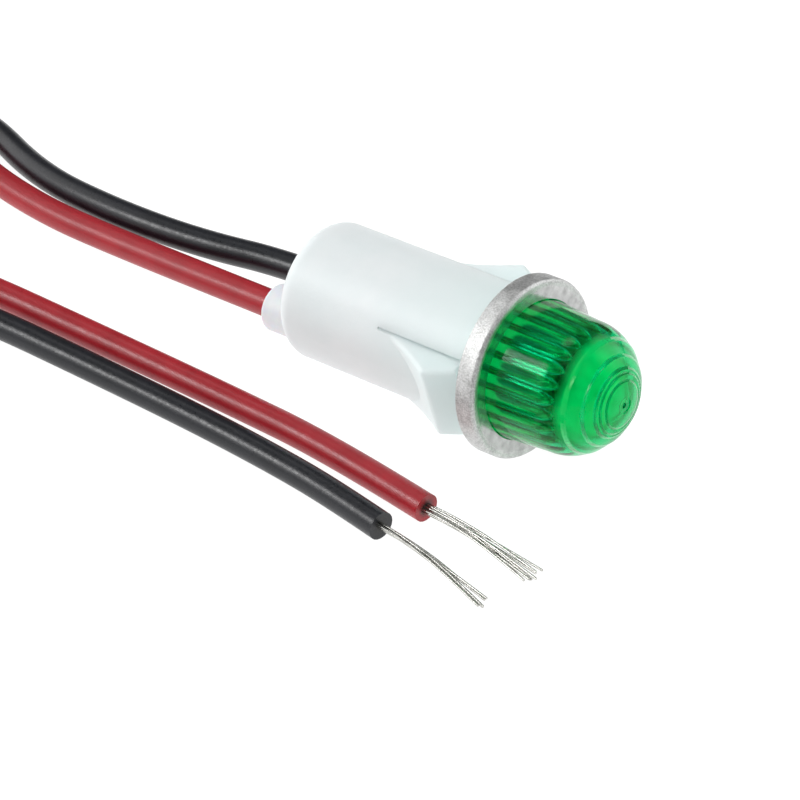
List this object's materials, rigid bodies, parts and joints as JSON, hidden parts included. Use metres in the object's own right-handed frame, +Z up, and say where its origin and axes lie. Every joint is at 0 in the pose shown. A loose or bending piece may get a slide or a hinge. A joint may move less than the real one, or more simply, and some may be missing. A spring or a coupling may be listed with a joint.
{
  "type": "neon indicator lamp",
  "caption": "Snap-in neon indicator lamp: a fluted domed lens in a round bezel, a barrel with two spring fingers, and a pair of wire leads",
  "frame": {"origin": "on the surface it lies on, under the middle of the lamp without its leads", "axes": "+X along the lamp's axis in plan, towards the lens; +Z up; the axis leans up 5 degrees towards the lens, as the lamp rests on its bezel's rim and its barrel's rear edge"},
  "size_m": [0.1007, 0.0324, 0.0161],
  "materials": {
    "bezel": "satin",
    "lens": "polished, transparent green",
    "nylon": "translucent natural nylon",
    "bushing": "satin",
    "clear_glass": "clear",
    "nickel": "dull nickel",
    "resistor": "lacquer",
    "sleeve": "translucent",
    "crimp": "tinned",
    "red_pvc": "satin",
    "black_pvc": "satin",
    "tinned_copper": "tinned"
  },
  "bodies": {
    "root": {"bezel": "bezel", "lens": "lens", "housing": "nylon", "bulb": "clear_glass", "bulb_spacer": "nylon", "electrode_red_side": "nickel", "electrode_black_side": "nickel", "lamp_wire_red_side": "tinned_copper", "lamp_wire_black_side": "tinned_copper", "resistor": "resistor", "resistor_wire_front": "tinned_copper", "resistor_wire_rear": "tinned_copper", "crimp_lamp_to_resistor": "crimp", "crimp_red_lead": "crimp", "crimp_black_lead": "crimp", "insulating_sleeve_red": "sleeve", "insulating_sleeve_black": "sleeve", "bushing_red": "bushing", "bushing_black": "bushing", "insulation_red": "red_pvc", "insulation_black": "black_pvc", "conductor_red": "tinned_copper", "conductor_black": "tinned_copper", "strands_red": "tinned_copper", "strands_black": "tinned_copper"}
  },
  "joints": []
}
